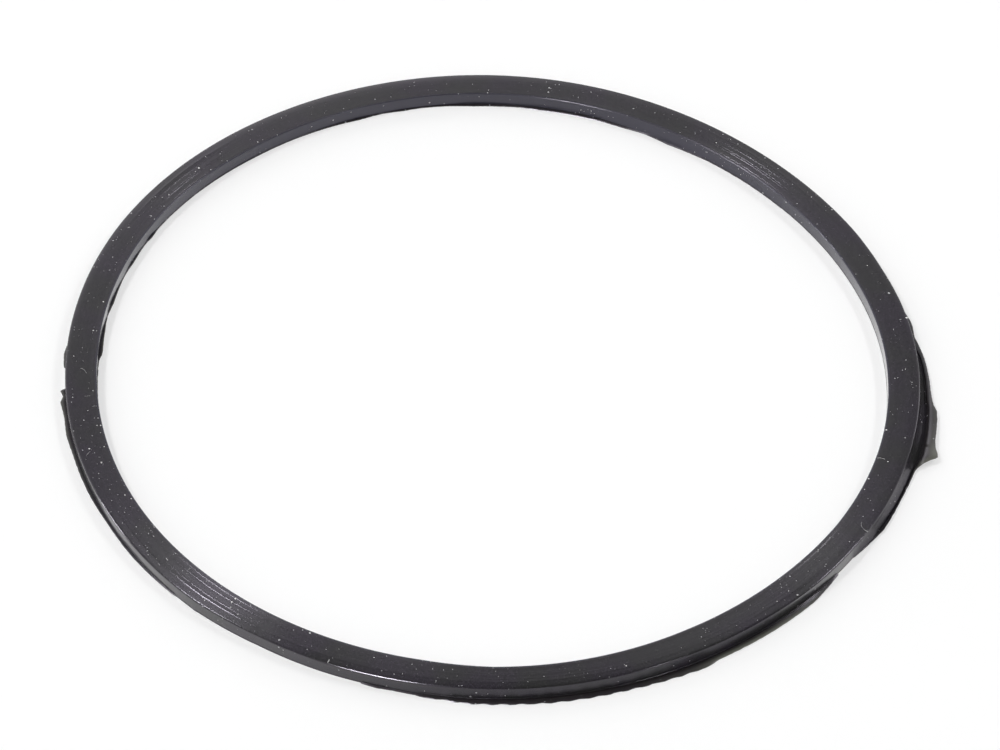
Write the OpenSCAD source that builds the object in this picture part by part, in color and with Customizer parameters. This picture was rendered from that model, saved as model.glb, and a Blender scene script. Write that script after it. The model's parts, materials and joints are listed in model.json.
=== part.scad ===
// Flat rubber sealing ring, moulded in one piece and left untrimmed.
// The thin flash of the mould's parting line still stands out round its lower
// edge, and is torn out to a tail at one place.
// Origin: the ring's centre, at half its thickness. +Z is the ring's axis, and
// points out of the upper face, the one that carries the turning marks.

/* [Ring] */
// Diameter of the hole
bore_d = 82.55; // [40:0.05:150]
// Width of the flat face, from the hole to the rim
face_w = 3.175; // [3:0.025:8]
// Thickness of the ring, from the lower face to the upper face
thickness = 1.6; // [1:0.1:4]
// Radius of the two upper edges
edge_r = 0.12; // [0.05:0.01:0.2]
// How far the outer land of the upper face falls towards the rim
land_fall = 0.05; // [0:0.01:0.1]

/* [Turning marks] */
// Width of each ring-shaped mark that the turned mould left in the upper face
mark_w = 0.16; // [0.08:0.02:0.2]
// Depth of each mark
mark_depth = 0.04; // [0.01:0.01:0.08]

/* [Flash] */
// Thickness of the sheet of flash at the lower face
flash_t = 0.15; // [0.1:0.05:0.4]
// How far the torn tail reaches out from the rim
tail_reach = 2.95; // [1.5:0.05:5]
// Length of one scallop along the front of the flash
scallop_pitch = 1.9; // [1.2:0.1:4]
// Height of one scallop
scallop_h = 0.12; // [0:0.02:0.2]

/* [Hidden] */
$fn = 96;

bore_r = bore_d / 2;
rim_r = bore_r + face_w;
low_z = -thickness / 2;
top_z = thickness / 2;

// Middles of the turning marks, outwards in: the first two measured from the
// rim, the other two from the hole.
first_marks = [0.4, 1.2];
last_marks = [0.78, 0.34];
marks = concat(first_marks, [for (d = last_marks) face_w - d]);
land_w = first_marks[1] - mark_w / 2;

// Steps in which a ragged edge is drawn, in degrees, plain and scalloped.
plain_step = 1;
fine_step = 1 / 3;
// Steps of a quarter turn in a rounded upper edge.
edge_steps = 4;

// Ragged edges of the flash, as [angle in degrees, width in millimetres].
// Below zero the flash has been trimmed back flush with the rim.
rim_flash = [
    [0, 1.55], [2, 1.5], [6, 1.3], [9, 0.95], [10, 0.8], [12.5, 1], [15, 0.7],
    [18, 0.45], [24, 0.15], [28, 0.05], [32, -0.1], [60, -0.1], [65, 0.2], [72, 0.3],
    [82, 0.35], [95, 0.45], [107, 0.35], [118, 0.4], [130, 0.25], [142, 0.3],
    [155, 0.1], [168, 0.05], [177, 0], [179, 0.2], [181, 0.1], [183, -0.1],
    [184, -0.3], [185, -0.3], [186, 0.35], [187, 0.1], [188, 0.4], [191, 0.18],
    [194, 0.32], [198, 0.2], [206, 0.25], [211, 0.15], [217, 0.3], [226, 0.25],
    [227, 0.08], [230, 0.18], [232, 0.07], [233, -0.3], [254, -0.3], [255, 0.12],
    [257, 0.25], [259, 0.15], [262, 0.25], [263, 0.45], [266, 0.48], [268, 0.7],
    [280, 0.78], [290, 0.68], [297, 0.78], [300.5, 0.88], [301.5, 0.55], [318, 0.5],
    [321, 0.28], [324, 0.02], [327, -0.05], [330, 0.3], [334, 0.78], [340, 0.84],
    [345, 1.05], [360, 1.55],
];
bore_flash = [
    [0, 0.12], [12, 0.2], [17, 0.12], [19, 0.22], [22, 0.1], [27, 0.25], [30, 0.1],
    [33, 0.2], [36, 0.06], [42, 0.12], [48, 0.16], [56, 0.25], [59, 0.4], [63, 0.56],
    [67, 0.32], [71, 0.46], [76, 0.4], [84, 0.42], [87, 0.3], [94, 0.38], [98, 0.22],
    [102, 0.14], [105, 0.24], [108, 0.1], [112, 0.28], [116, 0.16], [122, 0.08],
    [130, 0.1], [145, 0.06], [151, 0.08], [153, 0.22], [155, 0.08], [159, 0.2],
    [162, 0.06], [168, 0.24], [171, 0.08], [174, 0.24], [178, 0.38], [179, 0.34],
    [180, 0.1], [190, 0.08], [197, 0.2], [205, 0.1], [214, 0.16], [226, 0.08],
    [238, 0.2], [249, 0.1], [260, 0.15], [272, 0.25], [284, 0.12], [296, 0.22],
    [308, 0.1], [320, 0.18], [333, 0.1], [345, 0.2], [360, 0.12],
];
// The torn tail, as [angle, share of its reach]: a hooked lower edge, the tip,
// and a ragged upper edge that dies away into the flash.
tail = [
    [345, 0.33], [346, 0.42], [347, 0.56], [347.8, 0.76], [348.4, 1], [349.2, 0.94],
    [350.2, 0.83], [351.5, 0.78], [353, 0.78], [355, 0.77], [356.5, 0.74],
    [357.5, 0.63], [359, 0.55], [361, 0.51],
];
// Where the flash is scalloped, as [angle, share of the scallop's height].
scalloped = [[0, 0], [262, 0], [266, 1], [297, 1], [300, 0], [360, 0]];
scallops = round(360 * rim_r * PI / 180 / scallop_pitch);

function polar(r, a) = [r * cos(a), r * sin(a)];

function scallop(a) = scallop_h / 2 * cos(scallops * a) * lookup(a, scalloped);

function is_fine(a) = lookup(a, scalloped) + lookup(a + plain_step, scalloped) > 0;

// Height of the upper face at the distance d in from the rim.
function face_z(d) = top_z - land_fall * max(0, 1 - d / land_w);

// Points of one turning mark, d in from the rim, outwards in.
function mark_points(d) = [
    [rim_r - d + mark_w / 2, face_z(d - mark_w / 2)],
    [rim_r - d, face_z(d) - mark_depth],
    [rim_r - d - mark_w / 2, face_z(d + mark_w / 2)],
];

// Section of the ring, with its rounded upper edges and its turning marks.
module ring_section() {
    quarter = [for (i = [0:edge_steps]) 90 * i / edge_steps];
    rim_edge = [rim_r - edge_r, face_z(edge_r) - edge_r];
    bore_edge = [bore_r + edge_r, top_z - edge_r];
    polygon(concat(
        [[bore_r, low_z], [rim_r, low_z]],
        [for (a = quarter) rim_edge + polar(edge_r, a)],
        [for (d = marks) each mark_points(d)],
        [for (a = quarter) bore_edge + polar(edge_r, 90 + a)]
    ));
}

// Plan of the flash, from its ragged outer edge to its ragged inner edge.
module flash_plan() {
    rim_angles = [
        for (a = [0:plain_step:359])
            each (is_fine(a) ? [a, a + fine_step, a + 2 * fine_step] : [a])
    ];
    difference() {
        union() {
            polygon([for (a = rim_angles) polar(rim_r + lookup(a, rim_flash) + scallop(a), a)]);
            tail_plan();
        }
        polygon([
            for (a = [0:plain_step:359]) polar(bore_r - lookup(a, bore_flash), a)
        ]);
    }
}

// The tail's own sheet, rooted in the middle of the ring's width.
module tail_plan() {
    first = tail[0][0];
    last = tail[len(tail) - 1][0];
    root_r = rim_r - face_w / 2;
    polygon(concat(
        [for (p = tail) polar(rim_r + tail_reach * p[1], p[0])],
        [for (a = [last, (first + last) / 2, first]) polar(root_r, a)]
    ));
}

module sealing_ring() {
    color([0.09, 0.09, 0.1])
    union() {
        rotate_extrude() ring_section();
        translate([0, 0, low_z]) linear_extrude(flash_t) flash_plan();
    }
}

sealing_ring();
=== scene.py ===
# %% [markdown]
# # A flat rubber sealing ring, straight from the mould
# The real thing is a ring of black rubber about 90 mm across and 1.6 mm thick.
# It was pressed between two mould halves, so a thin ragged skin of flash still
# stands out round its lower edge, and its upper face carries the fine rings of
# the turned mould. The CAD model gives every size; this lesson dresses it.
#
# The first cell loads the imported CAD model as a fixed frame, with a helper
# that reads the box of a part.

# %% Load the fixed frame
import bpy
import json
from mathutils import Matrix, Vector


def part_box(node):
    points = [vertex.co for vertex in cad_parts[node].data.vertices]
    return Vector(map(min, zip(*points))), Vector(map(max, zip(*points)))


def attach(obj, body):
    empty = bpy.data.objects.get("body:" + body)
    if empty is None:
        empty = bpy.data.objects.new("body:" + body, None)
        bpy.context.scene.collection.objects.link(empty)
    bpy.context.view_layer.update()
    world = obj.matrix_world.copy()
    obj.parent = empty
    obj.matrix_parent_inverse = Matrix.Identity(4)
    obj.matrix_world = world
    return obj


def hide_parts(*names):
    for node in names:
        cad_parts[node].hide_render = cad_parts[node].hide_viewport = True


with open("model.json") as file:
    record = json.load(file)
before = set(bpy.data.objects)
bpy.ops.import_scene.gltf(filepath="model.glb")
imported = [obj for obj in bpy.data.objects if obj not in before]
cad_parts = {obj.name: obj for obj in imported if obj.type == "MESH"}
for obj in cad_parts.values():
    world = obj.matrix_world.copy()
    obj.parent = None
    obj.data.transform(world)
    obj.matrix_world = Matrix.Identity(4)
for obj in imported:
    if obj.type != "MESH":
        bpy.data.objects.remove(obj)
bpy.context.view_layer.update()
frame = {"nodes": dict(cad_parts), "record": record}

import json
import math
from random import Random

import bpy
import numpy as np
from mathutils import Matrix, Vector

MM = 0.001
# In millimetres: points nearer than TINY are one point, and what lies further
# off than CLEAR has left the surface.
TINY, CLEAR = 0.001, 0.01

# %% [markdown]
# ## Sizes come from the frame
# The record's two round mounts give the radii of the hole and of the rim, and
# the node's box gives the two flat faces. Blender works in metres, but sizes of
# a few tenths are easier to read in millimetres, so all shape values here are
# in millimetres and are multiplied by MM where they reach an operator.

# %% Read the ring's sizes
mounts = {mount["name"]: mount for mount in frame["record"]["mounts"]}
BORE_R = mounts["hole"]["dims"]["r_mm"]
RIM_R = mounts["rim"]["dims"]["r_mm"]
LOW_Z, TOP_Z = (corner.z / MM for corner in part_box("sealing_ring"))
FACE_W = RIM_R - BORE_R
print(f"hole {BORE_R} mm, rim {RIM_R} mm, faces at {LOW_Z:.2f} and {TOP_Z:.2f} mm")

# %% [markdown]
# ## The camera comes first
# A small flat object is shot with a long lens from more than half a metre, at
# about 46 degrees above the table, which keeps the ellipse of the ring calm.
# It is placed by turning it up from looking straight down, rolling it a little
# about its own line of sight, and backing it away from the point it looks at.

# %% Place the camera
LENS, DISTANCE = 188.4, 546.6
ELEVATION, ROLL = math.radians(45.86), math.radians(2.09)
AIM_RIGHT, AIM_UP = 1.01, 0.06


def add_camera():
    turn = (Matrix.Rotation(math.pi / 2 - ELEVATION, 4, "X")
            @ Matrix.Rotation(ROLL, 4, "Z"))
    back = turn @ Vector((AIM_RIGHT, AIM_UP, DISTANCE)) * MM
    bpy.ops.object.camera_add()
    camera = bpy.context.object
    camera.name = "camera"
    camera.matrix_world = Matrix.Translation(back + Vector((0, 0, LOW_Z * MM))) @ turn
    camera.data.lens = LENS
    camera.data.clip_start = 0.01
    bpy.context.scene.camera = camera
    return camera


camera = add_camera()
print("camera at", [round(c, 4) for c in camera.location], "m, lens", LENS, "mm")

# %% [markdown]
# ## A node tree in one call
# Every material below is a handful of nodes. These helpers add a node, set its
# sockets by name and link it in one line, so that a recipe reads from top to
# bottom.

# %% Helpers for node trees


def new_material(name):
    """A material, and the tree of its nodes."""
    material = bpy.data.materials.new(name)
    material.use_nodes = True
    return material, material.node_tree


def add_node(tree, kind, settings=None, **inputs):
    """A node of that kind; an input is a plain value or another node's socket."""
    node = tree.nodes.new(kind)
    for name, value in (settings or {}).items():
        setattr(node, name, value)
    for name, value in inputs.items():
        socket = node.inputs[int(name[1:]) if name[1:].isdigit() else name.replace("_", " ")]
        if isinstance(value, bpy.types.NodeSocket):
            tree.links.new(value, socket)
        else:
            socket.default_value = value
    return node


def maths(tree, operation, first, second=0.0, third=0.0):
    """The result socket of a Math node."""
    return add_node(tree, "ShaderNodeMath", {"operation": operation},
                    _0=first, _1=second, _2=third).outputs[0]


def ramp(tree, value, low, high, out_low=0.0, out_high=1.0):
    """value taken smoothly from out_low at low to out_high at high."""
    settings = {"interpolation_type": "SMOOTHSTEP", "clamp": True}
    node = add_node(tree, "ShaderNodeMapRange", settings, Value=value)
    limits = {"From Min": low, "From Max": high, "To Min": out_low, "To Max": out_high}
    for name, limit in limits.items():
        node.inputs[name].default_value = limit
    return node.outputs["Result"]


print("node helpers:", add_node.__name__, maths.__name__, ramp.__name__)

# %% [markdown]
# ## A white table that keeps the shadow
# The floor is a plain plane with a matt white finish. Part of what the camera
# sees is a steady white, so that the table stays even, and the rest is lit, so
# that the ring's soft shadow stays on it. Glossy rays get the same mixture,
# because the rubber mirrors the table in its walls.

# %% Lay the floor
FLOOR_WHITE, STEADY_SHARE = 0.97, 0.5
# Width of the table in metres, and the gap under the ring in millimetres.
TABLE_W, TABLE_GAP = 6, 0.005


def white_table():
    material, tree = new_material("white_table")
    tree.nodes.clear()
    path = add_node(tree, "ShaderNodeLightPath")
    seen = maths(tree, "MAXIMUM", path.outputs["Is Camera Ray"],
                 maths(tree, "MAXIMUM", path.outputs["Is Glossy Ray"],
                       path.outputs["Is Transmission Ray"]))
    matt = add_node(tree, "ShaderNodeBsdfDiffuse", Color=(FLOOR_WHITE,) * 3 + (1,))
    steady = add_node(tree, "ShaderNodeEmission", Color=(1, 1, 1, 1), Strength=1.0)
    mixed = add_node(tree, "ShaderNodeMixShader", _0=maths(tree, "MULTIPLY", seen, STEADY_SHARE),
                     _1=matt.outputs[0], _2=steady.outputs[0])
    add_node(tree, "ShaderNodeOutputMaterial", Surface=mixed.outputs[0])
    return material


bpy.ops.object.select_all(action="DESELECT")
bpy.ops.mesh.primitive_plane_add(size=TABLE_W, location=(0, 0, (LOW_Z - TABLE_GAP) * MM))
table = bpy.context.object
table.name = "table"
table.data.materials.append(white_table())
print("table laid at", round(table.location.z / MM, 3), "mm")

# %% [markdown]
# ## A plain, soft room
# Black rubber shows its surroundings rather than its colour. The room is a pale
# surround that is brightest at the height of a low wall and dims towards the
# ceiling; behind the table it is brighter, and on the right a little dimmer. Its
# foot is dim in gloss, or the face would mirror it and turn white when the ring
# is seen from low down.

# %% Light the room
# The low light in front, what the back adds to it, and the light overhead.
LOW_LIGHT, BACK_LIGHT, HIGH_LIGHT = 0.95, 1.3, 0.26
LEFT_SHARE, RIGHT_SHARE = 1.25, 0.72
# Where the room passes from front to back and from left to right, as sines.
TO_BACK, TO_RIGHT = (-0.2, 0.5), (-0.1, 0.1)
# How far the low light has given way to the light overhead, by height in degrees.
DIMMED = [(29, 0), (33, 0.08), (37, 0.48), (40, 0.68), (43, 0.81), (48, 0.83), (52, 0.93),
          (57, 1)]
# Between which heights, as sines, the foot of the room ends, and how bright it is
# in gloss.
FOOT, FOOT_SHARE = (0.28, 0.44), 0.25


def light_room():
    world = bpy.data.worlds.new("pale_room")
    bpy.context.scene.world = world
    world.use_nodes = True
    tree = world.node_tree
    tree.nodes.clear()
    towards = add_node(tree, "ShaderNodeTexCoord").outputs["Generated"]
    split = add_node(tree, "ShaderNodeSeparateXYZ", Vector=towards)
    low = ramp(tree, split.outputs["Y"], *TO_BACK, LOW_LIGHT, LOW_LIGHT + BACK_LIGHT)
    dimmed = add_node(tree, "ShaderNodeValToRGB", Fac=split.outputs["Z"])
    stops = dimmed.color_ramp.elements
    stops.remove(stops[0])
    stops[0].position, stops[0].color = math.sin(math.radians(DIMMED[0][0])), (0, 0, 0, 1)
    for height, share in DIMMED[1:]:
        stops.new(math.sin(math.radians(height))).color = (share, share, share, 1)
    high = add_node(tree, "ShaderNodeMix", Factor=dimmed.outputs[0], A=low, B=HIGH_LIGHT)
    sides = ramp(tree, split.outputs["X"], *TO_RIGHT, LEFT_SHARE, RIGHT_SHARE)
    lit = maths(tree, "MULTIPLY", high.outputs[0], sides)
    path = add_node(tree, "ShaderNodeLightPath").outputs
    foot = ramp(tree, split.outputs["Z"], *FOOT, FOOT_SHARE, 1.0)
    mirrored = add_node(tree, "ShaderNodeMix", Factor=path["Is Glossy Ray"], A=1.0, B=foot)
    lit = maths(tree, "MULTIPLY", lit, mirrored.outputs[0])
    seen = add_node(tree, "ShaderNodeMix", Factor=path["Is Camera Ray"], A=lit, B=1.0)
    light = add_node(tree, "ShaderNodeBackground", Strength=seen.outputs[0])
    add_node(tree, "ShaderNodeOutputWorld", Surface=light.outputs[0])


bpy.context.scene.view_settings.view_transform = "Standard"
light_room()
print("room lit:", bpy.context.scene.world.name)

# %% [markdown]
# ## Lamps for the shadow and for the glints
# A soft round lamp stands on either side, well up. The glints on the turning
# marks and the rounded edges come from small bright lamps that show in gloss
# alone: each draws a glint where the rubber faces half way between it and the
# viewer. Two faint ones lay a sheen on the sloping outer land.

# %% Hang the lamps
LAMP_DISTANCE = 0.9
# Bearing and height of each lamp in degrees, its width in metres, and how many
# times brighter it is than white paper.
LAMPS = {
    "left_lamp": (174, 58, 0.155, 45),
    "right_lamp": (21, 48, 0.155, 30),
}
GLINT_LAMPS = {
    "left_glint": (174, 58, 0.155, 95),
    "right_glint": (21, 48, 0.1, 5),
    "low_left_glint": (175, 6, 0.16, 48),
    "low_right_glint": (2, 7, 0.2, 5),
    "back_right_glint": (36, 6, 0.2, 4),
    "front_glint": (246, 36, 0.25, 85),
    "front_right_glint": (317, 39, 0.12, 20),
    "left_land_sheen": (104, 53, 0.1, 3.0),
    "right_land_sheen": (77, 53, 0.16, 0.9),
}


def add_lamp(name, bearing, height, width, brightness):
    bearing, height = math.radians(bearing), math.radians(height)
    towards = Vector((math.cos(height) * math.cos(bearing),
                      math.cos(height) * math.sin(bearing), math.sin(height)))
    bpy.ops.object.light_add(type="AREA", location=towards * LAMP_DISTANCE)
    lamp = bpy.context.object
    lamp.name = name
    lamp.rotation_euler = towards.to_track_quat("Z", "Y").to_euler()
    lamp.data.shape = "DISK"
    lamp.data.size = width
    lamp.data.energy = brightness * math.pi * math.pi * width ** 2 / 4
    return lamp


for name, values in LAMPS.items():
    add_lamp(name, *values)
for name, values in GLINT_LAMPS.items():
    add_lamp(name, *values).visible_diffuse = False
print(len(LAMPS), "lamps hung, and", len(GLINT_LAMPS), "that show in gloss alone")

# %% [markdown]
# ## Where the flash ends
# The CAD model already holds the torn outline of the flash, in the flat lower
# face, so this cell reads it there: the outermost point at each angle is the
# outer edge, and the innermost point the inner edge.

# %% Read the flash's outline from the CAD node
STEPS = 1440
ANGLES = np.arange(STEPS) * 2 * math.pi / STEPS
# Flash narrower than this, in millimetres, has been trimmed off.
TRIMMED = 0.03


def mesh_points(mesh):
    """The points of a mesh, in millimetres."""
    points = np.zeros(len(mesh.vertices) * 3)
    mesh.vertices.foreach_get("co", points)
    return points.reshape(-1, 3) / MM


def edge_radius(points, outer):
    """Radius of the outer or inner edge of the lower face at each of ANGLES."""
    x, y, z = points.T
    radius, angle = np.hypot(x, y), np.arctan2(y, x) % (2 * math.pi)
    middle = (BORE_R + RIM_R) / 2
    mine = (z < LOW_Z + CLEAR) & ((radius > middle) == outer)
    order = np.argsort(angle[mine])
    return np.interp(ANGLES, angle[mine][order], radius[mine][order], period=2 * math.pi)


cad_points = mesh_points(frame["nodes"]["sealing_ring"].data)
outer_edge = edge_radius(cad_points, True)
bore_flash = BORE_R - edge_radius(cad_points, False)
flash_top = np.unique(np.round(cad_points[:, 2], 3))[1]
FLASH_T = flash_top - LOW_Z
print(f"flash {FLASH_T:.2f} mm thick, standing out up to {outer_edge.max() - RIM_R:.2f} mm")

# %% [markdown]
# ## The lines of the section
# A ring is one section carried round an axis, so the section is where the work
# goes. The flash is drawn one millimetre wide on both sides; its true width comes
# later. The upper face is an outer land that falls towards the rim, a steep flank
# up from it, and a main face with small steps and shallow grooves: what the
# turning tool left in the mould. Each pair of the face lines is a distance in
# from the rim, and how far the face lies under its highest level there.

# %% Write down the section
# The flash as it is drawn: its width, the thickness of its torn edge, and the
# small fillet at its root.
FLASH_W, EDGE_T, ROOT = 1.0, 0.07, 0.015
# The highest level lies a little under the top of the box: dust needs room.
DUST_ROOM = 0.03
FACE_TOP = TOP_Z - DUST_ROOM
# The upper face, with its rounded edges, lies within this depth of that level.
FACE_DEPTH = 0.2
# The face without its steps and grooves, and the face as the tool left it.
PLAIN_LINE = [(0, 0.085), (0.2, 0.058), (0.42, 0.036), (0.7, 0.022), (1.1, 0.012), (2.0, 0.01),
              (FACE_W, 0.012)]
FACE_LINE = [
    (0, 0.09), (0.2, 0.074), (0.42, 0.06), (0.6, 0.05), (0.72, 0.042), (0.82, 0.03),
    (0.885, 0.004), (1.28, 0.02), (1.315, 0),
    (1.43, 0), (1.465, 0.016), (1.7, 0.005), (1.97, 0), (2.005, 0.016), (2.12, 0.018),
    (2.155, 0), (2.22, 0), (2.255, 0.018), (2.7, 0.016), (2.735, 0), (2.86, 0),
    (2.895, 0.017), (FACE_W, 0.02),
]
# Heights over the lower face at which the walls get a point.
OUTER_WALL = (0.32, 0.45, 0.6, 0.8, 1.0, 1.2)
INNER_WALL = (0.32, 1.2)
# The flash from its root, round its edge and back: distance out, and height.
OUTER_FLASH = [(ROOT, FLASH_T), (0.2, 0.14), (0.4, 0.12), (0.65, 0.11), (0.92, EDGE_T + 0.01),
               (FLASH_W, EDGE_T / 2), (0.95, 0), (0.6, 0), (0.25, 0)]
INNER_FLASH = [(ROOT, FLASH_T), (0.4, 0.13), (0.92, EDGE_T), (FLASH_W, EDGE_T / 2), (0.8, 0)]


def face_height(inwards, line):
    """Height of the upper face along a line, inwards millimetres in from the rim."""
    distance, down = zip(*line)
    return FACE_TOP - np.interp(inwards, distance, down)


def flash_line(root_r, way, shape):
    """The flash from its root outwards, round its edge and back, as (radius, height)."""
    root = [(root_r, LOW_Z + FLASH_T + ROOT)]
    return root + [(root_r + way * out, LOW_Z + up) for out, up in shape]


outer_wall = [(RIM_R, LOW_Z + up) for up in OUTER_WALL]
inner_wall = [(BORE_R, LOW_Z + up) for up in INNER_WALL]
upper_face = [(RIM_R - inwards, FACE_TOP - down) for inwards, down in FACE_LINE]
section_points = (
    outer_wall + upper_face + inner_wall[::-1]
    + flash_line(BORE_R, -1, INNER_FLASH) + [(BORE_R, LOW_Z), (RIM_R, LOW_Z)]
    + flash_line(RIM_R, 1, OUTER_FLASH)[::-1]
)
print("section of", len(section_points), "points")

# %% [markdown]
# ## Drawn point by point
# The section is drawn the way it is by hand: one vertex, then extrude, extrude,
# extrude, and one edge to close it.

# %% Draw the section


def draw_loop(name, points):
    """A closed line in the plane y = 0 through (radius, height) points."""
    bpy.ops.object.select_all(action="DESELECT")
    bpy.ops.mesh.primitive_plane_add(size=MM)
    bpy.context.object.name = name
    bpy.ops.object.mode_set(mode="EDIT")
    bpy.ops.mesh.merge(type="CENTER")
    steps = np.diff([(0, 0)] + points, axis=0) * MM
    bpy.ops.transform.translate(value=(steps[0][0], 0, steps[0][1]))
    for right, up in steps[1:]:
        bpy.ops.mesh.extrude_region_move(
            TRANSFORM_OT_translate={"value": (right, 0, up)})
    bpy.ops.object.mode_set(mode="OBJECT")
    line = bpy.context.object
    for vertex in (line.data.vertices[0], line.data.vertices[-1]):
        vertex.select = True
    bpy.ops.object.mode_set(mode="EDIT")
    bpy.ops.mesh.edge_face_add()
    bpy.ops.object.mode_set(mode="OBJECT")
    return line


ring = draw_loop("sealing_ring_rubber", section_points)
print("drawn:", len(ring.data.edges), "edges")

# %% [markdown]
# ## Rounding the two upper edges
# A moulded edge is never sharp, and it is the rounded upper edge that catches
# the light as a thin bright line. Bevelling vertices rounds a drawn line in the
# way that bevelling edges rounds a solid. The steps and grooves stay crisp.

# %% Round the section
RIM_EDGE_R, HOLE_EDGE_R = 0.14, 0.06
EDGE_STEPS = 5


def round_upper_edge(line, radius, rounding):
    """Rounds the corner of the upper face that lies at a radius."""
    bpy.ops.object.mode_set(mode="EDIT")
    bpy.ops.mesh.select_mode(type="VERT")
    bpy.ops.mesh.select_all(action="DESELECT")
    bpy.ops.object.mode_set(mode="OBJECT")
    for vertex in line.data.vertices:
        is_upper = vertex.co.z / MM > FACE_TOP - FACE_DEPTH
        vertex.select = is_upper and abs(vertex.co.x / MM - radius) < TINY
    bpy.ops.object.mode_set(mode="EDIT")
    bpy.ops.mesh.bevel(offset=rounding * MM, segments=EDGE_STEPS, affect="VERTICES")
    bpy.ops.object.mode_set(mode="OBJECT")


round_upper_edge(ring, RIM_R, RIM_EDGE_R)
round_upper_edge(ring, BORE_R, HOLE_EDGE_R)
print("rounded section of", len(ring.data.vertices), "points")

# %% [markdown]
# ## Round and round
# Spin carries the section about the axis. A step of a quarter of a degree is
# fine enough for the torn edge, but so many steps in one go are slow, so only a
# sector is spun. An Array modifier, whose offset is an empty turned by one
# sector, repeats it right round and merges the joins. A spun shape can come out
# inside out, so the normals are worked out again.

# %% Spin the ring
SECTORS = 24


def spin_sector(line):
    bpy.ops.object.mode_set(mode="EDIT")
    bpy.ops.mesh.select_all(action="SELECT")
    bpy.ops.mesh.spin(steps=STEPS // SECTORS, angle=2 * math.pi / SECTORS,
                      center=(0, 0, 0), axis=(0, 0, 1))
    bpy.ops.object.mode_set(mode="OBJECT")


def repeat_round(piece):
    bpy.ops.object.empty_add(rotation=(0, 0, 2 * math.pi / SECTORS))
    turned = bpy.context.object
    bpy.context.view_layer.objects.active = piece
    array = piece.modifiers.new("round", "ARRAY")
    array.count = SECTORS
    array.use_relative_offset = False
    array.use_object_offset = True
    array.offset_object = turned
    array.use_merge_vertices = array.use_merge_vertices_cap = True
    array.merge_threshold = TINY * MM
    bpy.ops.object.modifier_apply(modifier=array.name)
    bpy.data.objects.remove(turned)
    bpy.ops.object.mode_set(mode="EDIT")
    bpy.ops.mesh.select_all(action="SELECT")
    bpy.ops.mesh.normals_make_consistent(inside=False)
    bpy.ops.object.mode_set(mode="OBJECT")


spin_sector(ring)
repeat_round(ring)
print("spun:", len(ring.data.vertices), "points,", len(ring.data.polygons), "faces")

# %% [markdown]
# ## Two attributes to paint by
# The materials need to know where on the section a point lies, also once the
# ring is out of round. Two attributes remember it while the shape is still true:
# how far in from the rim, in millimetres, and how far out along the flash, as a
# share of its width. The faces of the turned upper side get the second material
# slot at the same time.

# %% Remember places on the section


def keep_attribute(name, values):
    attribute = ring.data.attributes.new(name, "FLOAT", "POINT")
    attribute.data.foreach_set("value", values.astype(np.float32))


nominal = mesh_points(ring.data)
nominal_r = np.hypot(nominal[:, 0], nominal[:, 1])
keep_attribute("inwards", np.clip(RIM_R - nominal_r, 0, FACE_W))
keep_attribute("along_flash", np.maximum(nominal_r - RIM_R, BORE_R - nominal_r).clip(0) / FLASH_W)
centers = np.zeros(len(ring.data.polygons) * 3)
ring.data.polygons.foreach_get("center", centers)
is_turned = centers.reshape(-1, 3)[:, 2] / MM > FACE_TOP - FACE_DEPTH
ring.data.polygons.foreach_set("material_index", is_turned.astype(np.int32))
print(is_turned.sum(), "faces on the turned side")

# %% [markdown]
# ## Real rubber is not quite round
# Out of its groove a soft ring relaxes a few tenths of a millimetre out of
# true, in slow waves, and its rim and its hole each swell or draw in of their
# own. This cell says how far, at any angle; the points are moved further down.
# A table of bearings and values, read with straight lines between them, is the
# plainest way to write a shape that follows no rule.

# %% Let the ring relax
# Waves of the relaxed ring: how many round the ring, height in millimetres, and
# the bearing of the first crest in degrees.
WAVES = [(1, 0.03, -40), (2, 0.07, -57), (3, 0.17, -2), (4, 0.12, 0), (5, 0.075, 3)]
SHRUNK = 0.02
# How far the rim stands out past its relaxed circle, and the hole's edge in
# past it, by bearing.
RIM_SWELL = [(-172, 0), (-160, 0), (-150, 0.02), (-140, 0.09), (-130, 0.1), (-120, -0.13),
             (-110, -0.1), (-95, -0.2), (-60, -0.22), (-48, -0.12), (-40, 0), (-25, 0),
             (-10, -0.05), (15, 0.07), (22, 0.02), (30, 0.15), (95, 0.16), (125, 0.1),
             (155, 0.07), (172, 0)]
HOLE_SWELL = [(-180, 0.12), (-150, -0.02), (-120, 0.07), (-98, 0.08), (-88, -0.12), (-60, 0.05),
              (-42, 0), (-30, -0.1), (-15, 0.02), (0, 0.17), (20, 0.2), (45, 0.1), (70, 0),
              (100, -0.12), (130, 0), (150, -0.11), (165, 0)]


def by_bearing(table, angle):
    """A value out of a table of (bearing in degrees, value), at any angle."""
    bearings, values = zip(*table)
    return np.interp(np.degrees(angle), bearings, values, period=360)


def relaxed(angle):
    """How far the ring stands out of its true circle."""
    return -SHRUNK + sum(high * np.cos(count * (angle - math.radians(crest)))
                         for count, high, crest in WAVES)


def swollen(angle, share):
    """How far a point stands out past the relaxed circle, share of the way from hole to rim."""
    return share * by_bearing(RIM_SWELL, angle) - (1 - share) * by_bearing(HOLE_SWELL, angle)


rim_stands_out = relaxed(ANGLES) + swollen(ANGLES, 1)
print(f"rim out of true by {rim_stands_out.min():.2f} to {rim_stands_out.max():.2f} mm")

# %% [markdown]
# ## The flash tears unevenly
# The flash keeps to the outline read from the CAD node, less a fine raggedness
# of its own: the sum of many short waves, whose lengths and places come from a
# seeded random number. Where it was trimmed off, only a thin line is left.

# %% Tear the flash
# Height of the raggedness in millimetres, how many waves make it up, the fewest
# and the most that a wave comes round the ring, and the height of their sum.
RAGGED, WAVE_COUNT, FEWEST, MOST, SUM_HEIGHT = 0.02, 40, 60, 500, 3
OUTER_SEED, INNER_SEED = 3, 5
LEAST_FLASH = 0.02
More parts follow.
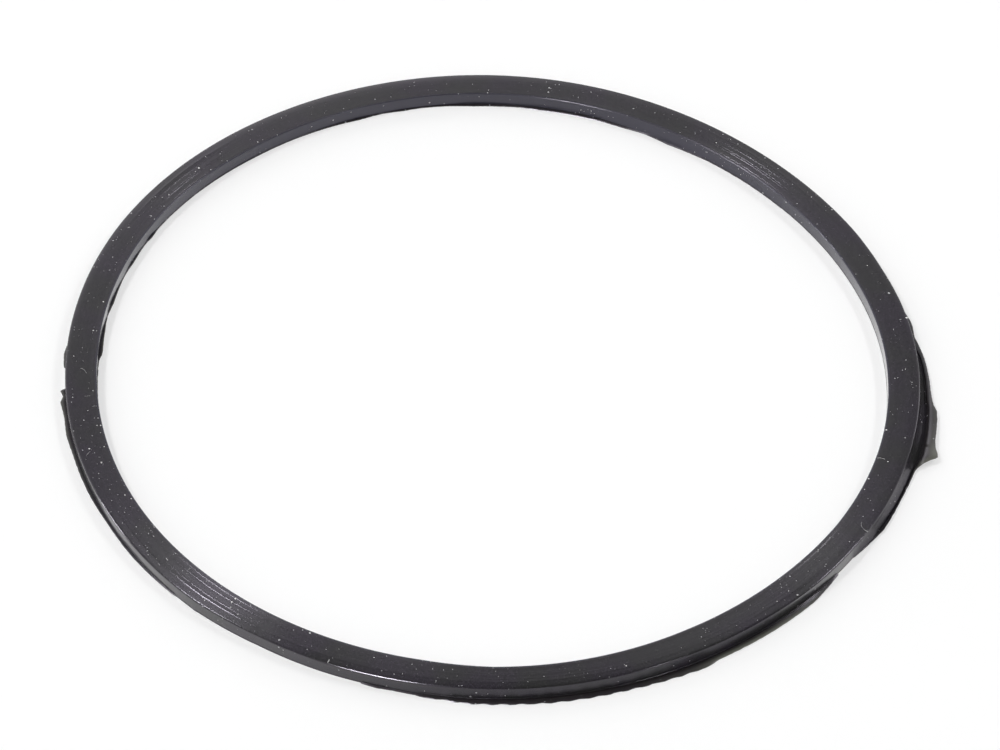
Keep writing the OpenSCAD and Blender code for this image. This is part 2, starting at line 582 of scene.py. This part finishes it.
# How much of the inner flash is left, by bearing: on the right it is broken away.
INNER_FLASH_LEFT = [(-25, 1), (-15, 0.1), (32, 0.1), (42, 1)]


def ragged_edge(seed):
    """A fine unevenness at each of ANGLES, the sum of waves of many lengths."""
    chance = np.random.default_rng(seed)
    counts = chance.integers(FEWEST, MOST, WAVE_COUNT)
    phases = chance.uniform(0, 2 * math.pi, WAVE_COUNT)
    waves = np.cos(np.outer(ANGLES, counts) + phases) / np.sqrt(counts / FEWEST)
    return RAGGED * waves.sum(axis=1) / SUM_HEIGHT


def at_angle(values, angle):
    """values, given at ANGLES, at any angle."""
    return np.interp(angle, ANGLES, values, period=2 * math.pi)


trimmed = outer_edge < RIM_R + TRIMMED
torn_width = outer_edge - RIM_R - relaxed(ANGLES) - by_bearing(RIM_SWELL, ANGLES)
torn_width -= np.abs(ragged_edge(OUTER_SEED))
rim_width = np.maximum(np.where(trimmed, 0, torn_width), LEAST_FLASH)
bore_width = bore_flash * by_bearing(INNER_FLASH_LEFT, ANGLES) - np.abs(ragged_edge(INNER_SEED))
bore_width = np.maximum(bore_width, LEAST_FLASH)
print(f"flash from {rim_width.min():.2f} to {rim_width.max():.2f} mm wide outside, "
      f"up to {bore_width.max():.2f} mm inside")

# %% [markdown]
# ## Turning marks fade
# The mould plate was polished after it was turned, and only stretches of the
# marks came through clearly. So the face is blended between its plain line and
# its turned line, by bearing.

# %% Fade the turning marks
# Share to which the marks show, by bearing.
MARKS_SHOW = [(-180, 0.05), (-156, 0.15), (-146, 0.5), (-138, 1), (-120, 1), (-112, 0.5),
              (-104, 0.25), (-60, 0.25), (-50, 0.3), (-44, 1), (-31, 1), (-26, 0.2), (-14, 0.05),
              (32, 0.05), (40, 0.5), (44, 1), (53, 1), (58, 0.3), (66, 0.05), (130, 0.05),
              (135, 0.5), (138, 1), (146, 1), (150, 0.3), (160, 0.05)]
# Between those distances in from the rim, only this share of that is kept.
MIDDLE_OF_FACE = (0.7, 2.5)
MIDDLE_KEEPS = [(-48, 1), (-43, 0.35), (-24, 0.35), (-20, 1)]


def fade_marks(inwards, height, angle):
    """Heights of points on the upper face once the marks have faded."""
    marked = face_height(inwards, FACE_LINE) - face_height(inwards, PLAIN_LINE)
    in_middle = (inwards > MIDDLE_OF_FACE[0]) & (inwards < MIDDLE_OF_FACE[1])
    share = by_bearing(MARKS_SHOW, angle) * np.where(in_middle, by_bearing(MIDDLE_KEEPS, angle), 1)
    return height - marked * (1 - share)


print("marks show fully at", [bearing for bearing, share in MARKS_SHOW if share == 1])

# %% [markdown]
# ## Skirts, a crease and a torn tail that curls
# Where the rubber was pulled before it tore, the foot of the wall was dragged
# out into a skirt. At the tail the skirt runs down to a sharp crease, and beyond
# it the thin sheet curls up off the table, leaning towards the front as it
# rises, as a peeled edge does. Inside, the back right has a skirt too.
# No operator follows a torn edge, so the points are moved in code: each keeps its
# place on the section, and its radius and height follow from its angle.

# %% Move the points
# In millimetres: the outer skirt, the depth of the crease, and how far the outer
# sheet and the inner one curl up. The inner skirt is a share of its flash.
SKIRT = [(-104, 0), (-96, 0.12), (-64, 0.16), (-45, 0.1), (-38, 0), (-33, 0), (-31, 0.3),
         (-28, 0.45), (-20, 0.6), (-14, 0.8), (-8, 0.87), (-2, 0.72), (2, 0.66), (6, 0.5),
         (8, 0.2), (10, 0)]
CREASE = [(-30, 0), (-26, 0.08), (-18, 0.1), (6, 0.1), (9, 0)]
CURL = [(-180, 0.14), (-140, 0.14), (-110, 0.03), (-60, 0.01), (-54, 0.06), (-44, 0.06),
        (-40, 0), (-31, 0), (-29, 0.3), (-25, 0.5), (-20, 0.46), (-17, 0.44), (-11.5, 0.62),
        (-6, 0.45), (0, 0.4), (5, 0.35), (8, 0.2), (13, 0), (100, 0), (160, 0.1)]
HOLE_CURL = [(-180, 0.2), (-160, 0.1), (0, 0), (120, 0), (145, 0.2)]
INNER_SKIRT = [(26, 0), (36, 0.8), (66, 0.8), (76, 0)]
# The outer skirt takes at most that share of the flash, and tapers off upwards.
SKIRT_SHARE, TAPER = 0.8, 2
# The crease lies near the root, up to that height over the lower face.
CREASE_BELOW = 0.3
# A sheet has its full curl from this width on, and less if it is narrower.
CURL_WITHIN, CURL_POWER = 0.55, 0.7
LEAN = 0.97


def outer_skirt(angle):
    """How far the foot of the outer wall is dragged out."""
    return np.minimum(by_bearing(SKIRT, angle), at_angle(rim_width, angle) * SKIRT_SHARE)


def inner_skirt(angle):
    """How far the foot of the inner wall is dragged in."""
    return by_bearing(INNER_SKIRT, angle) * at_angle(bore_width, angle)


def flare(up):
    """Share of the skirt that a wall stands out by, up millimetres over the lower face."""
    return np.clip(1 - (up - FLASH_T) / (FACE_TOP - LOW_Z - FLASH_T), 0, 1) ** TAPER


def curled(sheet):
    """Share of the full curl at each place on a sheet, given its distance out."""
    return np.where(sheet > 0, np.clip(sheet / CURL_WITHIN, 0, 1) ** CURL_POWER, 0)


def shape_ring(points):
    """The spun points, relaxed, with the flash torn, creased and curled."""
    x, y, z = points.T
    radius, angle = np.hypot(x, y), np.arctan2(y, x)
    up = z - LOW_Z
    out, into = np.maximum(radius - RIM_R, 0), np.maximum(BORE_R - radius, 0)
    at_rim, at_bore = radius > RIM_R - TINY, radius < BORE_R + TINY
    outer_sheet = out / FLASH_W * (at_angle(rim_width, angle) - outer_skirt(angle))
    inner_sheet = into / FLASH_W * (at_angle(bore_width, angle) - inner_skirt(angle))
    body = np.clip(radius, BORE_R, RIM_R) + relaxed(angle)
    body += swollen(angle, np.clip((radius - BORE_R) / FACE_W, 0, 1))
    body += np.where(at_rim, outer_skirt(angle) * flare(up), 0) + outer_sheet
    body -= np.where(at_bore, inner_skirt(angle) * flare(up), 0) + inner_sheet
    lifted = curled(outer_sheet) * by_bearing(CURL, angle)
    at_root = at_rim & (out < 2 * ROOT) & (up > CLEAR) & (up < CREASE_BELOW)
    z = np.where(z > FACE_TOP - FACE_DEPTH, fade_marks(RIM_R - radius, z, angle), z)
    z = z + lifted - np.where(at_root, by_bearing(CREASE, angle), 0)
    z = z + curled(inner_sheet) * by_bearing(HOLE_CURL, angle)
    y = body * np.sin(angle) - LEAN * lifted * np.clip(np.cos(angle), 0, 1)
    return np.stack([body * np.cos(angle), y, z], axis=1)


shaped = shape_ring(nominal)
ring.data.vertices.foreach_set("co", (shaped * MM).ravel())
ring.data.update()
print(f"sheet lifted up to {shaped[nominal_r > RIM_R + FLASH_W / 2][:, 2].max() - LOW_Z:.2f} mm")

# %% [markdown]
# ## Thin edges and polished walls
# Torn thin, black rubber turns a pale olive, and where the mould was polished a
# wall shines. Both come and go round the ring, so the materials read them from
# two more attributes, which are written from tables by bearing.

# %% Remember thin and polished places
# Share to which the sheet is drawn thin.
DRAWN_THIN = [(-180, 0.5), (-165, 0.5), (-140, 0), (-70, 0), (-62, 0.2), (-57, 0.9), (-52, 1),
              (-45, 1), (-38, 0.2), (-26, 0.05), (-16, 0.2), (-13, 0.9), (-11, 1), (-9, 0.5),
              (-5, 0.3), (6, 0.2), (12, 0), (145, 0), (165, 0.8)]
# Share to which the inner and the outer wall are polished.
POLISHED_IN = [(-180, 1), (-150, 0), (-30, 0), (-10, 1), (20, 0.9), (35, 0.3), (60, 0.1),
               (125, 0.1), (150, 0.3), (168, 1)]
POLISHED_OUT = [(-180, 0.5), (-165, 0.6), (-150, 0.7), (-138, 1), (-130, 0.65), (-116, 0.6),
                (-104, 0.3), (-92, 0), (-50, 0), (-44, 0.8), (-38, 1), (-34, 0.8), (-31, 0),
                (172, 0)]


def polish_of(radius, angle):
    """Share to which each point, at its drawn radius and its angle, is polished."""
    at_hole = (radius > BORE_R - CLEAR) & (radius < BORE_R + HOLE_EDGE_R + CLEAR)
    at_rim = (radius > RIM_R - TINY) & (radius < RIM_R + CLEAR)
    return (np.where(at_hole, by_bearing(POLISHED_IN, angle), 0)
            + np.where(at_rim, by_bearing(POLISHED_OUT, angle), 0))


nominal_angle = np.arctan2(nominal[:, 1], nominal[:, 0])
polished = polish_of(nominal_r, nominal_angle)
keep_attribute("drawn_thin", by_bearing(DRAWN_THIN, nominal_angle))
keep_attribute("polished", polished)
print((polished > 0.5).sum(), "points on polished walls")

# %% [markdown]
# ## An effect that two finishes share: bloom
# Both rubber finishes need the cloudy bloom that black rubber gets: faint
# patches between violet black and olive black, with a fine grain of lighter and
# darker in them. So it is a node group, made once, with its own inputs.

# %% Make the bloom
# How much finer the grain is than the patches, and the darkest that it gets.
GRAIN_FINENESS, LEAST_TONE = 26.0, 0.1


def new_group(name, inputs, outputs):
    group = bpy.data.node_groups.new(name, "ShaderNodeTree")
    for socket, kind, value in inputs:
        made = group.interface.new_socket(socket, in_out="INPUT", socket_type=kind)
        made.default_value = value
    for socket, kind in outputs:
        group.interface.new_socket(socket, in_out="OUTPUT", socket_type=kind)
    return group


def mix_colour(tree, factor, first, second):
    node = add_node(tree, "ShaderNodeMix", {"data_type": "RGBA"}, _0=factor, _6=first, _7=second)
    return node.outputs[2]


def place_in(tree):
    """Where a point lies on its own piece, so that effects move with the piece."""
    return add_node(tree, "ShaderNodeTexCoord").outputs["Object"]


def noise(tree, vector, scale, detail=3.0, rough=0.5):
    """The Noise Texture's value, with scale in features for each metre."""
    return add_node(tree, "ShaderNodeTexNoise", Vector=vector, Scale=scale,
                    Detail=detail, Roughness=rough).outputs[0]


def bloom_group():
    group = new_group("rubber_bloom", [
        ("Patch Size", "NodeSocketFloat", 0.006),
        ("Depth", "NodeSocketFloat", 1.0),
        ("Violet", "NodeSocketColor", (0.014, 0.0115, 0.0165, 1)),
        ("Olive", "NodeSocketColor", (0.0125, 0.013, 0.0115, 1)),
    ], [("Colour", "NodeSocketColor")])
    given = add_node(group, "NodeGroupInput").outputs
    place = place_in(group)
    scale = maths(group, "DIVIDE", 1.0, given["Patch Size"])
    cloud = ramp(group, noise(group, place, scale, 3.0), 0.35, 0.65)
    grain = noise(group, place, maths(group, "MULTIPLY", scale, GRAIN_FINENESS), 3.0, 0.7)
    tinted = mix_colour(group, cloud, given["Violet"], given["Olive"])
    depth = maths(group, "MULTIPLY_ADD", maths(group, "SUBTRACT", grain, 0.5),
                  given["Depth"], 1.0)
    depth = maths(group, "MAXIMUM", depth, LEAST_TONE)
    toned = add_node(group, "ShaderNodeVectorMath", {"operation": "SCALE"},
                     _0=tinted, Scale=depth).outputs[0]
    add_node(group, "NodeGroupOutput", Colour=toned)
    return group


bloom = bloom_group()
print("node group:", bloom.name)

# %% [markdown]
# ## The other shared effect: fine dust
# The finest dust is too small to be worth modelling speck by speck. A Voronoi
# texture gives each little cell of space one point, and only what lies close to
# the point is dust. Some cells are left out, some specks are paler than others,
# and a slow noise lets the dust lie in drifts.

# %% Make the fine dust
# Drifts for each metre, the share of cells with no speck, and the faintest tone.
DRIFTS, EMPTY_CELLS, FAINTEST = 120.0, 0.6, 0.1


def dust_group():
    group = new_group("fine_dust", [
        ("Speck Spacing", "NodeSocketFloat", 0.0005),
        ("Speck Share", "NodeSocketFloat", 0.14),
    ], [("Dust", "NodeSocketFloat")])
    given = add_node(group, "NodeGroupInput").outputs
    place = place_in(group)
    scale = maths(group, "DIVIDE", 1.0, given["Speck Spacing"])
    cells = add_node(group, "ShaderNodeTexVoronoi", Vector=place, Scale=scale)
    drift = ramp(group, noise(group, place, DRIFTS, 2.0), 0.3, 0.7, 0.6, 1.1)
    limit = maths(group, "MULTIPLY", given["Speck Share"], drift)
    speck = maths(group, "LESS_THAN", cells.outputs["Distance"], limit)
    chance = add_node(group, "ShaderNodeSeparateColor", _0=cells.outputs["Color"]).outputs
    some = maths(group, "GREATER_THAN", chance[0], EMPTY_CELLS)
    pale = ramp(group, chance[1], 0.3, 1.0, FAINTEST, 1.0)
    speck = maths(group, "MULTIPLY", speck, maths(group, "MULTIPLY", some, pale))
    add_node(group, "NodeGroupOutput", Dust=speck)
    return group


dust = dust_group()
print("node group:", dust.name)

# %% [markdown]
# ## What both rubber finishes start from
# Rubber is a Principled BSDF with a nearly black colour, so it is the gloss that
# is seen. New rubber mirrors a little more than glass does, with a faint violet
# tint. These helpers start a finish, tint it, paint a bluish sheen at the hole,
# dust it, and give it its bumps.

# %% Helpers for the rubber
DUST_COLOUR = (0.42, 0.42, 0.43, 1)
# A painted bluish sheen, laid on the inner wall and the hole's edge in place of the highlight that
# they catch.
PAINTED_BLUE_SHEEN = (0.028, 0.028, 0.04, 1)
SHEEN_TINT = (0.93, 0.88, 1, 1)
RUBBER_IOR = 1.6
BLOOM_DEPTH = 4.0
# Height in metres of the fine grain of both finishes.
GRAIN_HEIGHT = 0.00001


def add_group(tree, group, **inputs):
    return add_node(tree, "ShaderNodeGroup", {"node_tree": group}, **inputs)


def attribute(tree, name):
    return add_node(tree, "ShaderNodeAttribute", {"attribute_name": name}).outputs["Fac"]


def bloomed(tree, patch_size):
    return add_group(tree, bloom, Patch_Size=patch_size, Depth=BLOOM_DEPTH).outputs["Colour"]


def painted_sheen_at_hole(tree, colour, inwards, width):
    """The colour, with a painted bluish sheen over the last width millimetres before the hole."""
    painted_sheen_share = ramp(tree, inwards, FACE_W - width, FACE_W)
    return mix_colour(tree, painted_sheen_share, colour, PAINTED_BLUE_SHEEN)


def dusted(tree, colour, spacing, share):
    specks = add_group(tree, dust, Speck_Spacing=spacing, Speck_Share=share).outputs["Dust"]
    return mix_colour(tree, specks, colour, DUST_COLOUR)


def new_rubber(name, roughness):
    material, tree = new_material(name)
    skin = tree.nodes["Principled BSDF"]
    skin.inputs["IOR"].default_value = RUBBER_IOR
    skin.inputs["Roughness"].default_value = roughness
    skin.inputs["Specular Tint"].default_value = SHEEN_TINT
    return material, tree, skin


def add_bumps(tree, skin, height, strength):
    bump = add_node(tree, "ShaderNodeBump", Strength=strength, Distance=GRAIN_HEIGHT,
                    Height=height)
    tree.links.new(bump.outputs[0], skin.inputs["Normal"])


print("rubber mirrors like a stuff of index", RUBBER_IOR)

# %% [markdown]
# ## The moulded skin
# The walls and the flash came off plain steel and have a soft satin skin. The
# inner wall carries a painted bluish sheen, the flash is painted darker for
# shade and is a little browner, and where it is drawn thin it is paler and
# olive. A coat, where the wall is polished, puts a clear second gloss over the
# satin one.

# %% Finish of the walls and the flash
WALL_ROUGH, FLASH_ROUGH, COAT_ROUGH = 0.24, 0.3, 0.12
# Painted shade: the flash's colour is darker than the walls', and a little browner.
SHADED_FLASH_BROWN = (0.008, 0.0065, 0.0062, 1)
EDGE_OLIVE = (0.105, 0.108, 0.085, 1)
# Between which shares of its width the flash turns a darker brown with painted shade, rough, and
# pale if thin.
TO_SHADED_BROWN, TO_ROUGH, TO_OLIVE = (0.0, 0.2), (0.0, 0.4), (0.15, 0.9)
# Grains for each metre of the skin.
SKIN_GRAIN = 2200.0


def moulded_skin():
    material, tree, skin = new_rubber("moulded_skin", WALL_ROUGH)
    colour = bloomed(tree, patch_size=0.004)
    # Painted bluish sheen on the inner wall.
    colour = painted_sheen_at_hole(tree, colour, attribute(tree, "inwards"), width=0.2)
    along = attribute(tree, "along_flash")
    # Painted shade: the flash is made darker, and a little browner.
    colour = mix_colour(tree, ramp(tree, along, *TO_SHADED_BROWN), colour, SHADED_FLASH_BROWN)
    thin = maths(tree, "MULTIPLY", ramp(tree, along, *TO_OLIVE), attribute(tree, "drawn_thin"))
    colour = mix_colour(tree, thin, colour, EDGE_OLIVE)
    colour = dusted(tree, colour, spacing=0.0006, share=0.16)
    tree.links.new(colour, skin.inputs["Base Color"])
    rough = ramp(tree, along, *TO_ROUGH, WALL_ROUGH, FLASH_ROUGH)
    tree.links.new(rough, skin.inputs["Roughness"])
    tree.links.new(attribute(tree, "polished"), skin.inputs["Coat Weight"])
    skin.inputs["Coat Roughness"].default_value = COAT_ROUGH
    add_bumps(tree, skin, noise(tree, place_in(tree), SKIN_GRAIN, 3.0), strength=0.6)
    return material


walls_finish = moulded_skin()
print("finish:", walls_finish.name)

# %% [markdown]
# ## The turned face
# The upper face came off a turned plate, so it carries fine rings, and its gloss
# spreads across them: that is what Anisotropic does. The rings are a noise that
# changes fast across the face and slowly along it, with a little plain grain,
# fed to a Bump. The outer land is a little smoother than the middle of the face,
# and the hole's edge a little rougher.

# %% Finish of the upper face
LAND_ROUGH, MIDDLE_ROUGH, HOLE_ROUGH = 0.2, 0.23, 0.27
# Distances in from the rim over which one passes into the next.
LAND_TO_MIDDLE, MIDDLE_TO_HOLE = (0.8, 1.2), (2.3, 2.7)
# How far the gloss spreads, and the quarter turn that lays it across the rings.
SPREAD, SPREAD_TURN = 0.92, 0.25
# Rings for each millimetre across the face, and changes for each metre along it.
RINGS_ACROSS, CHANGES_ALONG = 5.0, 60.0
# Grains for each metre, and their height against that of the rings.
FACE_GRAIN, GRAIN_SHARE = 2500.0, 0.15


def turned_height(tree, inwards):
    """The height of the fine rings and the grain, for a Bump."""
    place = place_in(tree)
    across = maths(tree, "MULTIPLY", inwards, RINGS_ACROSS)
    along = add_node(tree, "ShaderNodeVectorMath", {"operation": "SCALE"}, _0=place,
                     Scale=CHANGES_ALONG)
    rings = add_node(tree, "ShaderNodeVectorMath", {"operation": "ADD"},
                     _0=add_node(tree, "ShaderNodeCombineXYZ", X=across).outputs[0],
                     _1=along.outputs[0])
    return maths(tree, "MULTIPLY_ADD", noise(tree, place, FACE_GRAIN, 2.0), GRAIN_SHARE,
                 noise(tree, rings.outputs[0], 1.0, 3.0, 0.6))


def turned_face():
    material, tree, skin = new_rubber("turned_face", MIDDLE_ROUGH)
    skin.inputs["Anisotropic"].default_value = SPREAD
    skin.inputs["Anisotropic Rotation"].default_value = SPREAD_TURN
    inwards = attribute(tree, "inwards")
    land = ramp(tree, inwards, *LAND_TO_MIDDLE, LAND_ROUGH - MIDDLE_ROUGH, 0.0)
    hole = ramp(tree, inwards, *MIDDLE_TO_HOLE, MIDDLE_ROUGH, HOLE_ROUGH)
    tree.links.new(maths(tree, "ADD", land, hole), skin.inputs["Roughness"])
    # Painted bluish sheen over the last 0.3 mm of the face before the hole.
    colour = painted_sheen_at_hole(tree, bloomed(tree, patch_size=0.006), inwards, width=0.3)
    colour = dusted(tree, colour, spacing=0.0005, share=0.14)
    tree.links.new(colour, skin.inputs["Base Color"])
    add_bumps(tree, skin, turned_height(tree, inwards), strength=0.7)
    return material


face_finish = turned_face()
print("finish:", face_finish.name)

# %% [markdown]
# ## Smooth skin, crisp marks
# Shading is smooth wherever two faces meet at less than a set angle, which suits
# the spun walls and the rounded edges. The flanks of the turning marks are too
# shallow for that rule, so their edges are found by place and marked sharp.

# %% Dress the ring
SMOOTH_BELOW = 30
# Two points of the face line this near each other have a steep flank between.
STEEP_WITHIN = 0.07


def sharpen_marks(piece):
    """Keeps both edges of every steep flank crisp, also where the marks have faded."""
    flanks = [pair for pair in zip(FACE_LINE, FACE_LINE[1:])
              if pair[1][0] - pair[0][0] < STEEP_WITHIN]
    corners = np.array([point[0] for pair in flanks for point in pair])
    on_top = nominal[:, 2] > FACE_TOP - FACE_DEPTH
    inwards = np.where(on_top, RIM_R - nominal_r, -1)
    is_corner = np.abs(inwards[:, None] - corners).min(axis=1) < TINY
    count = len(piece.data.edges)
    ends, sharp = np.zeros(count * 2, dtype=np.int32), np.zeros(count, dtype=bool)
    piece.data.edges.foreach_get("vertices", ends)
    piece.data.edges.foreach_get("use_edge_sharp", sharp)
    first, second = ends.reshape(-1, 2).T
    level = np.abs(inwards[first] - inwards[second]) < TINY
    sharp |= is_corner[first] & is_corner[second] & level
    piece.data.edges.foreach_set("use_edge_sharp", sharp)
    return sharp.sum()


for finish in (walls_finish, face_finish):
    ring.data.materials.append(finish)
bpy.ops.object.select_all(action="DESELECT")
ring.select_set(True)
bpy.context.view_layer.objects.active = ring
bpy.ops.object.shade_smooth_by_angle(angle=math.radians(SMOOTH_BELOW))
print(sharpen_marks(ring), "sharp edges")
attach(ring, "root")
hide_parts("sealing_ring")

# %% [markdown]
# ## Dust, grain by grain
# Rubber is sticky and black, so every grain of dust shows. A grain is a flat
# little flake: an icosphere of 20 faces, squashed. It is modelled once, and each
# grain is a copy of its mesh, laid on a point of the face or of a wall.

# %% Make a flake and lay a grain
# Height of the flake against its radius, the radius from which a grain gets no
# thicker, and the least and the most that a grain is stretched.
FLAKE, THICKEST, STRETCH = 0.35, 0.08, (0.75, 1.3)
SEED = 11
chance = Random(SEED)


def flake_mesh():
    bpy.ops.object.select_all(action="DESELECT")
    bpy.ops.mesh.primitive_ico_sphere_add(subdivisions=1, radius=MM)
    ball = bpy.context.object
    bpy.ops.object.mode_set(mode="EDIT")
    bpy.ops.transform.resize(value=(1, 1, FLAKE))
    bpy.ops.object.mode_set(mode="OBJECT")
    mesh = ball.data
    bpy.data.objects.remove(ball)
    return mesh


def around(radius, angle, height):
    return Vector((radius * math.cos(angle), radius * math.sin(angle), height))


def on_face_at(bearing, share):
    """The point of the upper face at a bearing and a share of the way in, in mm."""
    angle, inwards = math.radians(bearing), share * FACE_W
    radius = RIM_R - inwards + relaxed(angle) + swollen(angle, 1 - share)
    return around(radius, angle, float(face_height(inwards, PLAIN_LINE)))


def on_wall_at(bearing, up, outer):
    """The point of the outer or inner wall at a bearing and a height, in mm."""
    angle = math.radians(bearing)
    radius = (RIM_R if outer else BORE_R) + relaxed(angle) + swollen(angle, int(outer))
    radius += (outer_skirt(angle) if outer else -inner_skirt(angle)) * flare(up)
    return around(radius, angle, LOW_Z + up)


def lay_grain(place, radius, facing):
    """A copy of the flake, its flat side along the surface that faces facing."""
    flat = facing.to_track_quat("Z", "X").to_matrix().to_4x4()
    spin = Matrix.Rotation(chance.uniform(0, 2 * math.pi), 4, "Z")
    size = Matrix.Diagonal((radius * chance.uniform(*STRETCH), radius, min(radius, THICKEST), 1))
    mesh = flake.copy()
    mesh.transform(Matrix.Translation(place * MM) @ flat @ spin @ size)
    grain = bpy.data.objects.new("grain", mesh)
    bpy.context.scene.collection.objects.link(grain)
    return grain


flake = flake_mesh()
print("flake of", len(flake.polygons), "faces")

# %% [markdown]
# ## Strew the grains
# The large grains lie where the eye finds them and are listed one by one.
# Hundreds of small ones are strewn from a seeded random number, more on the left
# and at the back than elsewhere, and a drift of them lies on the inner wall.

# %% Strew the dust
# Large grains: bearing in degrees, share of the way in from the rim, radius.
LARGE_GRAINS = [
    (17, 0.24, 0.14), (83, 0.68, 0.12), (83, 0.47, 0.12), (139, 0.55, 0.12),
    (-117, 0.19, 0.11), (-158, 0.59, 0.11), (-126, 0.84, 0.11), (152, 0.09, 0.1), (12, 0.03, 0.12),
    (-126, 0.66, 0.1), (-161, 0.16, 0.1), (-165, 0.94, 0.1), (109, 0.75, 0.1), (70, 0.58, 0.1),
    (-114, 0.9, 0.1), (-161, 0.38, 0.1), (-44, 0.09, 0.1), (170, 0.84, 0.09), (35, 0.08, 0.09),
    (128, 0.27, 0.09), (56, 0.6, 0.09), (146, 0.64, 0.09), (-141, 0.3, 0.09), (-10, 0.93, 0.09),
    (-20, 0.94, 0.09), (138, 0.89, 0.085), (-151, 0.79, 0.085), (-124, 0.37, 0.085),
    (-150, 0.91, 0.08), (-172, 0.87, 0.08), (-171, 0.21, 0.08), (176, 0.76, 0.08),
    (140, 0.04, 0.08), (161, 0.49, 0.08), (147, 0.54, 0.08),
]
# Small grains on each twelfth of the upper face, from the bearing -180 on, and
# between which shares of the way in they lie.
SMALL_GRAINS = [32, 66, 12, 6, 26, 14, 14, 14, 7, 8, 18, 32]
ON_FACE = (0.03, 0.97)
# Grains on the walls, the share of them on the outer one, and their heights.
WALL_GRAINS, ON_OUTER, ON_WALL = 70, 0.6, (0.5, 1.3)
# The drift: how many grains, from which bearing to which, and their heights.
DRIFT, DRIFT_SPAN, IN_DRIFT = 60, (36, 78), (0.25, 1.4)
# Radius of the smallest grains, and how much larger the largest are.
SMALL, DRIFTED = (0.024, 0.045), (0.02, 0.05)


def small_radius(least, spread):
    return least + spread * chance.random() ** 2


def strew_grains():
    up, sector_turn = Vector((0, 0, 1)), 360 / len(SMALL_GRAINS)
    grains = [lay_grain(on_face_at(bearing, share), radius, up)
              for bearing, share, radius in LARGE_GRAINS]
    for sector, count in enumerate(SMALL_GRAINS):
        for _ in range(count):
            bearing = -180 + sector_turn * (sector + chance.random())
            radius = small_radius(*SMALL)
            place = on_face_at(bearing, chance.uniform(*ON_FACE))
            grains.append(lay_grain(place, radius, up))
    for _ in range(WALL_GRAINS):
        bearing, outer = chance.uniform(-180, 180), chance.random() < ON_OUTER
        place = on_wall_at(bearing, chance.uniform(*ON_WALL), outer)
        facing = Vector((place.x, place.y, 0)) * (1 if outer else -1)
        grains.append(lay_grain(place, small_radius(*SMALL), facing))
    for _ in range(DRIFT):
        place = on_wall_at(chance.uniform(*DRIFT_SPAN), chance.uniform(*IN_DRIFT), False)
        facing = Vector((-place.x, -place.y, 0))
        grains.append(lay_grain(place, small_radius(*DRIFTED), facing))
    return grains


loose_grains = strew_grains()
print(len(loose_grains), "grains strewn")

# %% [markdown]
# ## One piece of pale lint
# The grains are joined, so that the dust is one piece. Dust and hairs share one
# matt finish: a noise coarser than a grain makes some of them pale, some dark.

# %% Join the dust and give it its finish
LINT_DARK, LINT_PALE, LINT_ROUGH = (0.25, 0.25, 0.27, 1), (0.85, 0.84, 0.82, 1), 0.8
# Patches of pale and dark for each metre.
LINT_PATCHES = 900.0


def join(pieces, name):
    bpy.ops.object.select_all(action="DESELECT")
    for piece in pieces:
        piece.select_set(True)
    bpy.context.view_layer.objects.active = pieces[0]
    bpy.ops.object.join()
    joined = bpy.context.object
    joined.name = name
    return joined


def lint():
    material, tree = new_material("pale_lint")
    skin = tree.nodes["Principled BSDF"]
    skin.inputs["Roughness"].default_value = LINT_ROUGH
    place = place_in(tree)
    tone = ramp(tree, noise(tree, place, LINT_PATCHES, 1.0), 0.3, 0.7)
    colour = mix_colour(tree, tone, LINT_DARK, LINT_PALE)
    tree.links.new(colour, skin.inputs["Base Color"])
    return material


grains = join(loose_grains, "dust_grains")
pale_lint = lint()
grains.data.materials.append(pale_lint)
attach(grains, "root")
print("dust of", len(grains.data.polygons), "faces")

# %% [markdown]
# ## A few hairs
# Lint also comes as short curved hairs. A hair is a small hexagon spun through
# an arc, which is how a bent wire is drawn with the Spin tool, and then laid on
# the face.

# %% Lay the hairs
# Bearing, share of the way in, radius of its bend, its turn, its own radius, and
# its heading.
HAIRS = [(-28.8, 0.23, 1.05, 88, 0.016, 233), (-15.6, 0.83, 6.0, 8, 0.014, 90),
         (-176.1, 0.61, 1.05, 55, 0.011, 221), (-171, 0.68, 6.0, 6, 0.011, 90),
         (-168.9, 0.86, 5.0, 6, 0.011, 90), (-160.2, 0.3, 5.0, 9, 0.009, 132),
         (-109.7, 0.09, 3.0, 8, 0.026, 90)]
HAIR_STEPS = 10


def lay_hair(bearing, share, bend, turn, thick, heading):
    place = on_face_at(bearing, share) + Vector((0, 0, thick))
    bpy.ops.object.select_all(action="DESELECT")
    bpy.ops.mesh.primitive_circle_add(vertices=6, radius=thick * MM, fill_type="NGON",
                                      location=(bend * MM, 0, 0), rotation=(math.pi / 2, 0, 0))
    hair = bpy.context.object
    bpy.ops.object.transform_apply(location=True, rotation=True)
    bpy.ops.object.mode_set(mode="EDIT")
    bpy.ops.mesh.select_all(action="SELECT")
    bpy.ops.mesh.spin(steps=HAIR_STEPS, angle=math.radians(turn), center=(0, 0, 0),
                      axis=(0, 0, 1))
    bpy.ops.mesh.select_all(action="SELECT")
    bpy.ops.mesh.normals_make_consistent(inside=False)
    bpy.ops.object.mode_set(mode="OBJECT")
    middle = Matrix.Rotation(math.radians(turn / 2), 4, "Z")
    inwards = Matrix.Translation((-bend * MM, 0, 0))
    heading = Matrix.Rotation(math.radians(bearing + heading), 4, "Z")
    hair.data.transform(Matrix.Translation(place * MM) @ heading @ inwards @ middle)
    return hair


hairs = join([lay_hair(*hair) for hair in HAIRS], "lint_hairs")
hairs.data.materials.append(pale_lint)
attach(hairs, "root")
print(len(HAIRS), "hairs laid")
